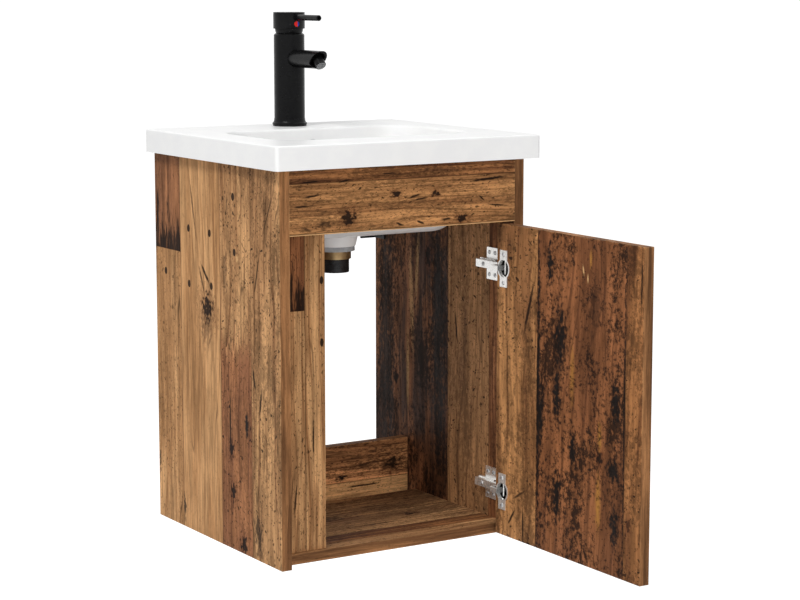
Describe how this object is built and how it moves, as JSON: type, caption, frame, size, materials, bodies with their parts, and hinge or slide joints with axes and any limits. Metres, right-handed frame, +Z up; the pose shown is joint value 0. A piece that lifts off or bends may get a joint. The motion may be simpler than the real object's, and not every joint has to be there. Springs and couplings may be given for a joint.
{
  "type": "vanity unit with basin",
  "caption": "Wall-hung bathroom vanity in worn-plank board with an open inset door, white drop-on basin, black single-lever tap and basin waste.",
  "frame": {"origin": "midway between the wall bracket holes, on the wall plane", "axes": "+X to the viewer's right facing the unit, +Y into the wall, +Z up"},
  "size_m": [0.42, 0.693, 0.739],
  "materials": {
    "old_wood": "printed worn plank, satin",
    "beech": "plain",
    "basin_white": "gloss",
    "bracket_black": "satin",
    "hinge_nickel": "nickel plated",
    "zinc_steel": "zinc plated",
    "tap_black": "matt black",
    "cartridge_plastic": "moulded",
    "aerator_grey": "moulded",
    "seal_grey": "matt",
    "seal_black": "matt",
    "brass": "turned",
    "waste_black": "threaded",
    "chrome": "polished",
    "hot_red": "gloss",
    "cold_blue": "gloss"
  },
  "bodies": {
    "cabinet": {"arm_screws": "zinc_steel", "basin": "basin_white", "bottom_panel": "old_wood", "bracket_screws": "zinc_steel", "cam_bolts": "hinge_nickel", "cam_locks": "hinge_nickel", "dowels": "beech", "front_fascia": "old_wood", "grip_stile": "old_wood", "hinge_arm_lower": "hinge_nickel", "hinge_arm_upper": "hinge_nickel", "hinge_plate_lower": "hinge_nickel", "hinge_plate_upper": "hinge_nickel", "left_side_panel": "old_wood", "lower_back_rail": "old_wood", "overflow_ring": "chrome", "plate_screws": "zinc_steel", "right_side_panel": "old_wood", "tap_aerator": "aerator_grey", "tap_base_ring": "tap_black", "tap_base_seal": "seal_black", "tap_body": "tap_black", "tap_cartridge": "cartridge_plastic", "tap_clamp_nut": "brass", "tap_clamp_plate": "zinc_steel", "tap_clamp_seal": "seal_grey", "tap_spout": "tap_black", "tap_stud": "zinc_steel", "upper_back_rail": "old_wood", "wall_bracket_left": "bracket_black", "wall_bracket_right": "bracket_black", "waste_body": "waste_black", "waste_nut": "brass", "waste_rim_seal": "seal_grey", "waste_washer": "seal_grey"},
    "door": {"door_panel": "old_wood", "hinge_cup_upper": "hinge_nickel", "hinge_cup_lower": "hinge_nickel", "hinge_pin_upper": "hinge_nickel", "hinge_pin_lower": "hinge_nickel", "cup_screws": "zinc_steel"},
    "tap_swivel": {"tap_carrier": "tap_black", "tap_tilt_pin": "zinc_steel"},
    "tap_handle": {"tap_stem": "cartridge_plastic", "tap_head": "tap_black", "tap_lever": "tap_black", "hot_mark": "hot_red", "cold_mark": "cold_blue"},
    "plug": {"waste_plug": "chrome"}
  },
  "joints": [
    {"name": "door_swing", "type": "hinge", "parent": "cabinet", "child": "door", "pos_m": [0.1695, -0.3685, 0], "axis": [0, 0, 1], "range_deg": [-90, 10]},
    {"name": "tap_turn", "type": "hinge", "parent": "cabinet", "child": "tap_swivel", "pos_m": [0, -0.053, 0.296], "axis": [0, 0, 1], "range_deg": [-45, 45]},
    {"name": "tap_lift", "type": "hinge", "parent": "tap_swivel", "child": "tap_handle", "pos_m": [0, -0.053, 0.296], "axis": [-1, 0, 0], "range_deg": [0, 15]},
    {"name": "plug_lift", "type": "slide", "parent": "cabinet", "child": "plug", "axis": [0, 0, 1], "range_m": [0, 0.008]}
  ]
}
